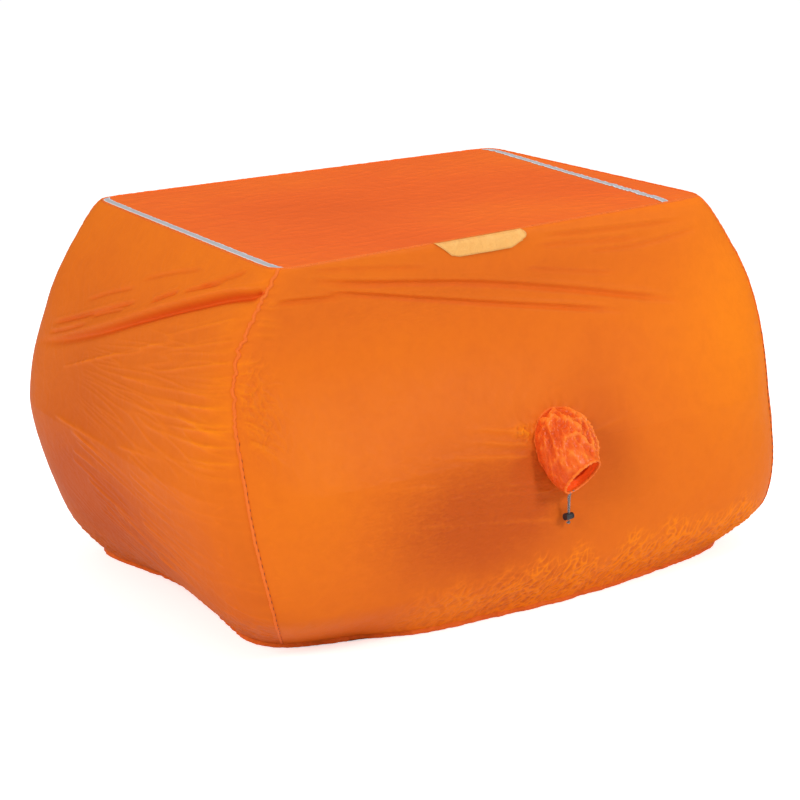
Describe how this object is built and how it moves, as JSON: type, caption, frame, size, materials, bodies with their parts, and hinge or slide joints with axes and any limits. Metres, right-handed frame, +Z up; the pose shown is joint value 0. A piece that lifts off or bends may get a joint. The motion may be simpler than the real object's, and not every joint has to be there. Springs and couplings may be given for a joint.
{
  "type": "emergency group shelter",
  "caption": "bottomless box-shaped fabric shelter with slack bulging walls, flat roof, drawn-in vent sleeves, reflective roof tapes, corded hem and sit-on ground panels",
  "frame": {"origin": "on the ground under the middle of the shelter's overall box", "axes": "+X along the long side, towards the right as seen from the front; -Y towards the front wall with the patch and the vent seen in the picture; +Z up"},
  "size_m": [1.758, 1.4527, 0.9526],
  "materials": {
    "wall_nylon": "thin coated orange nylon, soft sheen, lets light through",
    "roof_nylon": "thin coated orange nylon, soft sheen",
    "seam_binding": "rolled and stitched orange nylon",
    "sleeve_nylon": "crinkled glossy red-orange nylon",
    "reflective_tape": "silver-grey reflective tape with paler borders",
    "patch_cloth": "plain amber woven patch",
    "seat_cloth": "heavier black coated cloth",
    "drawcord": "flecked grey, black and white braided cord",
    "black_plastic": "moulded black plastic, satin",
    "spring_steel": "bright spring wire"
  },
  "bodies": {
    "shelter": {"roof_panel": "roof_nylon", "front_wall": "wall_nylon", "back_wall": "wall_nylon", "left_end_wall": "wall_nylon", "right_end_wall": "wall_nylon", "front_roof_seam": "seam_binding", "back_roof_seam": "seam_binding", "left_roof_seam": "seam_binding", "right_roof_seam": "seam_binding", "front_left_corner_seam": "seam_binding", "front_right_corner_seam": "seam_binding", "back_right_corner_seam": "seam_binding", "back_left_corner_seam": "seam_binding", "left_reflective_tape": "reflective_tape", "right_reflective_tape": "reflective_tape", "front_label_patch": "patch_cloth", "hem_channel": "seam_binding", "hem_drawcord": "drawcord", "hem_cord_knot": "drawcord", "front_seat_panel": "seat_cloth", "back_seat_panel": "seat_cloth", "front_vent_base_seam": "seam_binding", "back_vent_base_seam": "seam_binding"},
    "front_vent": {"front_vent_sleeve": "sleeve_nylon", "front_vent_mouth_hem": "sleeve_nylon", "front_vent_drawcord": "drawcord", "front_vent_cord_knot": "drawcord"},
    "front_vent_lock": {"front_vent_cord_lock_body": "black_plastic", "front_vent_cord_lock_spring": "spring_steel"},
    "front_vent_plunger": {"front_vent_cord_lock_plunger": "black_plastic"},
    "back_vent": {"back_vent_sleeve": "sleeve_nylon", "back_vent_mouth_hem": "sleeve_nylon", "back_vent_drawcord": "drawcord", "back_vent_cord_knot": "drawcord"},
    "back_vent_lock": {"back_vent_cord_lock_body": "black_plastic", "back_vent_cord_lock_spring": "spring_steel"},
    "back_vent_plunger": {"back_vent_cord_lock_plunger": "black_plastic"},
    "hem_lock": {"hem_cord_lock_body": "black_plastic", "hem_cord_lock_spring": "spring_steel"},
    "hem_plunger": {"hem_cord_lock_plunger": "black_plastic"}
  },
  "joints": [
    {"name": "front_vent_lift", "type": "hinge", "parent": "shelter", "child": "front_vent", "pos_m": [0.06069, -0.58016, 0.5127], "axis": [-1, 0, 0], "range_deg": [0, 60]},
    {"name": "front_vent_lock_slide", "type": "slide", "parent": "front_vent", "child": "front_vent_lock", "axis": [0, 0, 1], "range_m": [0, 0.03]},
    {"name": "front_vent_lock_press", "type": "slide", "parent": "front_vent_lock", "child": "front_vent_plunger", "axis": [-1, 0, 0], "range_m": [0, 0.0025], "stiffness_N_per_m": 900, "springref_m": -0.003, "deforming": ["front_vent_cord_lock_spring"]},
    {"name": "back_vent_lift", "type": "hinge", "parent": "shelter", "child": "back_vent", "pos_m": [-0.07303, 0.59251, 0.5127], "axis": [1, 0, 0], "range_deg": [0, 60]},
    {"name": "back_vent_lock_slide", "type": "slide", "parent": "back_vent", "child": "back_vent_lock", "axis": [0, 0, 1], "range_m": [0, 0.03]},
    {"name": "back_vent_lock_press", "type": "slide", "parent": "back_vent_lock", "child": "back_vent_plunger", "axis": [1, 0, 0], "range_m": [0, 0.0025], "stiffness_N_per_m": 900, "springref_m": -0.003, "deforming": ["back_vent_cord_lock_spring"]},
    {"name": "hem_lock_slide", "type": "slide", "parent": "shelter", "child": "hem_lock", "axis": [1, 0, 0], "range_m": [0, 0.02]},
    {"name": "hem_lock_press", "type": "slide", "parent": "hem_lock", "child": "hem_plunger", "axis": [0, 1, 0], "range_m": [0, 0.0025], "stiffness_N_per_m": 900, "springref_m": -0.003, "deforming": ["hem_cord_lock_spring"]}
  ]
}
